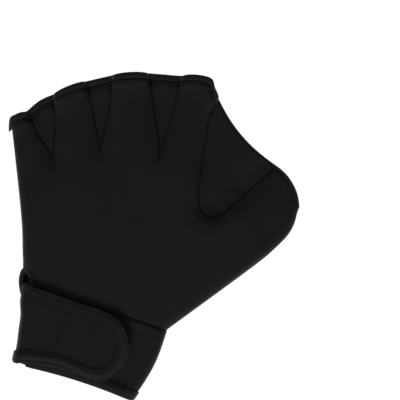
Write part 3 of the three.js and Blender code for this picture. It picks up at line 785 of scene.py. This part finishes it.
for node, (name, rows, drops) in BINDINGS.items():
    piece = rounded(node, name, 3)
    for line, drop in drops:
        draw_down(piece, line, drop * MM, DROP_WIDTH, 1)
    on_cuff = node in ("strap_binding", "wrist_hem_binding")
    for line, side in rows:
        press(piece, line, CUFF_ROW_DEPTH if on_cuff else ROW_DEPTH, ROW_WIDTH, side)
    if node == "wrist_hem_binding":
        slump(piece, WHOLLY_UNDER)
    elif node == "strap_binding":
        slump(piece)
    else:
        turn_end_down(piece)
    dress(piece, tape)
    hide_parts(node)
    tapes[node] = piece

# The slit's tape is rolled tight: up the front of the band, round the slit's head and down outside the
# fold behind it, where its end is sewn to the tongue.
SLIT_ROLL = 1.9 * MM  # radius
SLIT_RING_STEP = 4  # a ring of the roll at every fourth point of its path
SLIT_PATH = [
    # x, y, z in mm
    (-72.2, -32.0, 10.2),
    (-72.4, -27.5, 10.3),
    (-72.9, -23.6, 10.0),
    (-74.4, -20.4, 8.9),
    (-76.4, -19.6, 7.0),
    (-78.0, -21.0, 5.2),
    (-78.9, -24.0, 4.6),
    (-79.2, -27.3, 4.4),
    (-78.8, -30.9, 4.4),
    (-78.2, -34.0, 4.4),
]
run = bpy.data.curves.new("slit_run", "CURVE")
run.dimensions = "3D"
run.bevel_depth = SLIT_ROLL
run.bevel_resolution = 4
run.use_fill_caps = True
spline = run.splines.new("POLY")
slit_line = through([Vector(p) * MM for p in SLIT_PATH])[::SLIT_RING_STEP]
spline.points.add(len(slit_line) - 1)
for point, p in zip(spline.points, slit_line):
    point.co = (*p, 1)
run_object = bpy.data.objects.new("slit_run", run)
slit_tape = bpy.data.objects.new("slit_tape", bpy.data.meshes.new_from_object(run_object))
bpy.data.objects.remove(run_object)
bpy.context.scene.collection.objects.link(slit_tape)
dress(slit_tape, tape)
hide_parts("slit_binding")
tapes["slit_binding"] = slit_tape

# The stitches
# Spun nylon thread, sunk in the knit: one row down each side of the webs and twin rows along the bindings.
THREAD = 0.3 * MM  # half the width of the thread
THREAD_RISE = 0.7  # a stitch stands out of the cloth by this share of that
STITCH_SHARE = 0.8  # of a stitch's length, the part of the thread that shows
ABOVE_ALL = 60 * MM

thread = bpy.data.materials.new("nylon_thread")
spun = {"Base Color": linear("#0b0b0c"), "Roughness": 0.7, "IOR": 1.5, "Specular IOR Level": 0.12}
surface(empty_tree(thread), "ShaderNodeBsdfPrincipled", spun)

bm = bmesh.new()
bmesh.ops.create_uvsphere(bm, u_segments=8, v_segments=5, radius=1)
bm.transform(Matrix.Rotation(math.radians(90), 4, "Y"))
one_stitch = np.array([v.co[:] for v in bm.verts])
one_stitch_faces = [[v.index for v in face.verts] for face in bm.faces]
bm.free()


def stitches_on(piece, line, side):
    """The frame of each stitch of a row on one face of a piece: middle, half way along, across and out."""
    cloth = BVHTree.FromObject(piece, bpy.context.evaluated_depsgraph_get())
    step = STITCH / PATH_STEP
    frames = []
    for k in range(int((len(line) - 1) / step)):
        hits = []
        for share in (0.5 - STITCH_SHARE / 2, 0.5, 0.5 + STITCH_SHARE / 2):
            p = line[round((k + share) * step)]
            hits.append(cloth.ray_cast(Vector((p.x, p.y, side * ABOVE_ALL)), Vector((0, 0, -side))))
        if any(hit[0] is None for hit in hits):
            continue
        along = (hits[2][0] - hits[0][0]) / 2
        if along.length > STITCH:
            continue
        out = hits[1][1].normalized()
        across = out.cross(along).normalized()
        frames.append((hits[1][0], along, across * THREAD, out * THREAD * THREAD_RISE))
    return frames


def sew(name, rows):
    """One mesh of the stitches of several rows, each row a piece, a line and the face that it is on."""
    points = []
    faces = []
    for piece, line, side in rows:
        for middle, along, across, out in stitches_on(piece, line, side):
            base = len(points)
            turned = one_stitch @ np.array([along[:], across[:], out[:]]) + np.array(middle[:])
            points += turned.tolist()
            faces += [[base + i for i in face] for face in one_stitch_faces]
    mesh = bpy.data.meshes.new(name)
    mesh.from_pydata(points, [], faces)
    thread_run = bpy.data.objects.new(name, mesh)
    bpy.context.scene.collection.objects.link(thread_run)
    dress(thread_run, thread)
    return thread_run


hand_rows = [(back, line, 1) for line in hand_lines]
hand_rows.append((tapes["back_finger_binding"], finger_tape_row, 1))
palm_rows = [(palm, line, -1) for line in hand_lines]
palm_rows.append((tapes["palm_finger_binding"], finger_tape_row, -1))
tongue_tape = tapes["strap_binding"]
hem_tape = tapes["wrist_hem_binding"]
cuff_rows = [
    (band, slumped_line(tongue_cloth_row, TONGUE_HEIGHT), 1),
    (tongue_tape, slumped_line(tongue_tape_row, TONGUE_HEIGHT), 1),
    (band, slumped_line(patch_row, TONGUE_HEIGHT), 1),
    (band, slumped_line(hem_cloth_row, FRONT_HEIGHT), 1),
    (hem_tape, slumped_line(hem_tape_row, FRONT_HEIGHT), 1),
    (band, slumped_line(rear_hem_row, 0), -1),
    (hem_tape, slumped_line(rear_tape_row, 0), -1),
]
hand_stitches = sew("stitches_back", hand_rows)
palm_stitches = sew("stitches_palm", palm_rows)
cuff_stitches = sew("stitches_cuff", cuff_rows)

# The hook patch
# Moulded nylon hook tape under the end of the tongue, which grips the jersey of the band.
HOOK_PITCH = 1.2 * MM
HOOK_RISE = 0.2 * MM

hooks = bpy.data.materials.new("nylon_hook_tape")
tree = empty_tree(hooks)
hook_rows = bands(tree, object_space(tree, CUFF_TILT), HOOK_PITCH, "X")
bump = add_node(tree, "ShaderNodeBump", {"Strength": 0.8, "Distance": HOOK_RISE, "Height": hook_rows})
moulded = {"Base Color": linear("#161617"), "Roughness": 0.6, "Specular IOR Level": 0.2}
surface(tree, "ShaderNodeBsdfPrincipled", {**moulded, "Normal": bump.outputs[0]})
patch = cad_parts["hook_patch"]
patch.data.materials.clear()
patch.data.materials.append(hooks)
